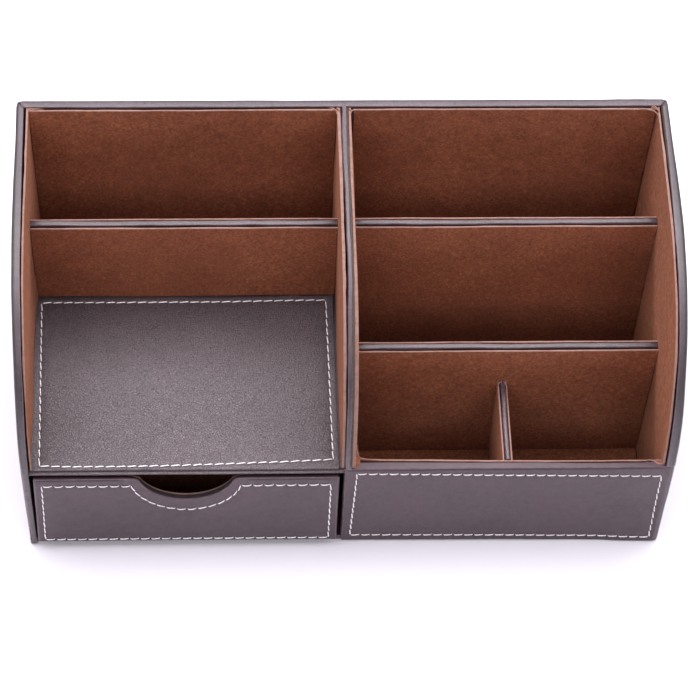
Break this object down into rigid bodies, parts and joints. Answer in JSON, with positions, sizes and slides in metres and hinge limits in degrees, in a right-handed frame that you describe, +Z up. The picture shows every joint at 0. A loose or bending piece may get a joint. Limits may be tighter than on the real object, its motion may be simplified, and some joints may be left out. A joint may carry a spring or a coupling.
{
  "type": "desk organizer with memo deck and drawer",
  "caption": "Two-bay leather-cloth desk organizer: open pockets, a stitched memo deck and a pull-out drawer with a thumb notch, between curved side walls, lined in brown suede.",
  "frame": {"origin": "centre of the overall footprint, on the surface the felt underside rests on", "axes": "+X to the right as seen by the user, +Y to the back wall, +Z up; the drawer slides out along -Y"},
  "size_m": [0.33, 0.167, 0.1581],
  "materials": {
    "leather_espresso": "fine-grained dark espresso leather-cloth, low sheen",
    "suede_brown": "brown microsuede on lining card",
    "thread_cream": "thick cream stitching thread",
    "board_mdf": "plain thin fibreboard, hidden",
    "felt_dark": "dark felt"
  },
  "bodies": {
    "case": {"back_board": "board_mdf", "back_cover": "leather_espresso", "back_liner_left": "suede_brown", "back_liner_right": "suede_brown", "base_board": "board_mdf", "base_felt": "felt_dark", "centre_board": "board_mdf", "centre_wall_binding": "leather_espresso", "centre_wall_liner_left": "suede_brown", "centre_wall_liner_right": "suede_brown", "drawer_sill_cover": "leather_espresso", "floor_liner_left_rear": "suede_brown", "floor_liner_pocket_left": "suede_brown", "floor_liner_pocket_right": "suede_brown", "floor_liner_right_middle": "suede_brown", "floor_liner_right_rear": "suede_brown", "front_board": "board_mdf", "front_panel_cover": "leather_espresso", "front_panel_liner": "suede_brown", "front_panel_stitching": "thread_cream", "front_partition_binding": "leather_espresso", "front_partition_board": "board_mdf", "front_partition_front_liner": "suede_brown", "front_partition_rear_liner": "suede_brown", "left_side_board": "board_mdf", "left_side_cover": "leather_espresso", "left_side_liner": "suede_brown", "memo_deck_board": "board_mdf", "memo_deck_cover": "leather_espresso", "memo_deck_stitching": "thread_cream", "pocket_divider_binding": "leather_espresso", "pocket_divider_board": "board_mdf", "pocket_divider_liner_left": "suede_brown", "pocket_divider_liner_right": "suede_brown", "rear_partition_left_binding": "leather_espresso", "rear_partition_left_board": "board_mdf", "rear_partition_left_front_liner": "suede_brown", "rear_partition_left_rear_liner": "suede_brown", "rear_partition_right_binding": "leather_espresso", "rear_partition_right_board": "board_mdf", "rear_partition_right_front_liner": "suede_brown", "rear_partition_right_rear_liner": "suede_brown", "right_side_board": "board_mdf", "right_side_cover": "leather_espresso", "right_side_liner": "suede_brown"},
    "drawer": {"drawer_back_board": "board_mdf", "drawer_back_wrap": "suede_brown", "drawer_bottom_board": "board_mdf", "drawer_floor_liner": "suede_brown", "drawer_front_board": "board_mdf", "drawer_front_cover": "leather_espresso", "drawer_front_liner": "suede_brown", "drawer_front_stitching": "thread_cream", "drawer_left_board": "board_mdf", "drawer_left_wrap": "suede_brown", "drawer_right_board": "board_mdf", "drawer_right_wrap": "suede_brown"}
  },
  "joints": [
    {"name": "drawer_slide", "type": "slide", "parent": "case", "child": "drawer", "axis": [0, -1, 0], "range_m": [0, 0.09]}
  ]
}
